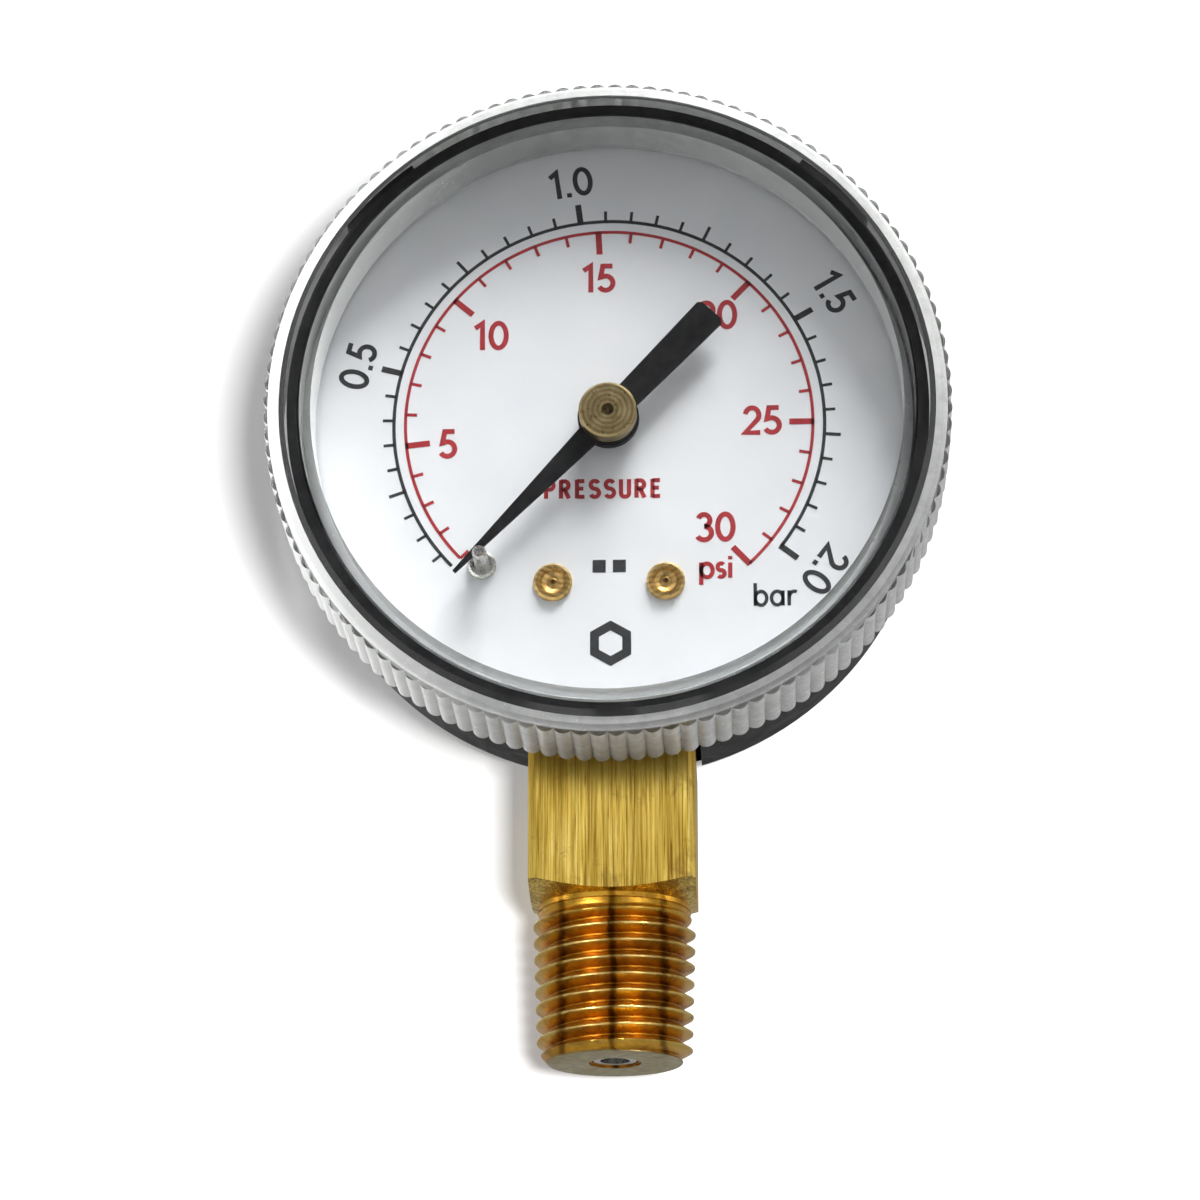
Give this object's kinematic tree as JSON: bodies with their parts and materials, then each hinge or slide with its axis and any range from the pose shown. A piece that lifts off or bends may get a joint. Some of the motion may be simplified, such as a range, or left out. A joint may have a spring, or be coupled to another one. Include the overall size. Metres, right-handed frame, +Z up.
{
  "type": "pressure gauge",
  "caption": "Low-pressure dial gauge with a bottom tapered pipe connection, Bourdon tube, geared movement, painted steel case and clear twist-lock lens.",
  "frame": {"origin": "centre of the threaded stem's lower end face", "axes": "+Z up the stem to the head, the dial faces -Y, +X to the reader's right"},
  "size_m": [0.0578, 0.026, 0.0819],
  "materials": {
    "black_enamel": "gloss enamel on drawn steel",
    "clear_plastic": "clear moulded polycarbonate",
    "dial_white": "satin white enamel",
    "brass_bar": "machined and brushed",
    "brass_turned": "fine turned",
    "pointer_black": "matt black",
    "plated_steel": "bright nickel plate",
    "bronze_tube": "drawn phosphor bronze",
    "bronze_spring": "rolled strip",
    "black_rubber": "moulded",
    "zinc_screw": "zinc plated"
  },
  "bodies": {
    "root": {"socket": "brass_bar", "restrictor": "plated_steel", "bourdon_tube": "bronze_tube", "movement_back_plate": "brass_turned", "movement_front_plate": "brass_turned", "movement_bushes": "bronze_tube", "movement_pillars": "brass_turned", "movement_screws": "zinc_screw", "hairspring": "bronze_spring", "hairspring_stud": "brass_turned", "dial": "dial_white", "dial_eyelets": "brass_turned", "dial_spacers": "brass_turned", "stop_pin": "plated_steel", "case": "black_enamel", "case_screws": "zinc_screw", "vent_plug": "black_rubber", "lens_gasket": "black_rubber"},
    "lens": {"lens": "clear_plastic"},
    "pointer": {"pinion": "plated_steel", "hairspring_collet": "brass_turned", "pointer": "pointer_black", "pointer_bush": "pointer_black", "pointer_hub": "brass_turned"},
    "sector": {"sector_gear": "brass_turned", "sector_arbor": "plated_steel"},
    "tube_tip": {"tube_end_piece": "brass_turned", "tip_pivot_screw": "plated_steel"},
    "link": {"link": "plated_steel", "sector_pivot_pin": "plated_steel"}
  },
  "joints": [
    {"name": "sector_swing", "type": "hinge", "parent": "root", "child": "sector", "pos_m": [0.0045, 0, 0.04521], "axis": [0, 1, 0], "range_deg": [-34, 0]},
    {"name": "pointer_spin", "type": "hinge", "parent": "root", "child": "pointer", "pos_m": [0, 0, 0.053], "axis": [0, 1, 0], "range_deg": [0, 272.5], "deforming": ["hairspring"]},
    {"name": "tube_flex", "type": "hinge", "parent": "root", "child": "tube_tip", "pos_m": [-0.00312, 0, 0.06049], "axis": [0, 1, 0], "range_deg": [-8, 0], "deforming": ["bourdon_tube"]},
    {"name": "link_swing", "type": "hinge", "parent": "tube_tip", "child": "link", "pos_m": [0.0132, 0, 0.0468], "axis": [0, 1, 0], "range_deg": [0, 9]},
    {"name": "lens_twist", "type": "hinge", "parent": "root", "child": "lens", "pos_m": [0, 0, 0.053], "axis": [0, -1, 0], "range_deg": [0, 36]}
  ],
  "couplings": [
    {"joint": "pointer_spin", "follows": "sector_swing", "ratio": -8},
    {"joint": "tube_flex", "follows": "sector_swing", "ratio": 0.2309},
    {"joint": "link_swing", "follows": "sector_swing", "ratio": -0.2522}
  ]
}
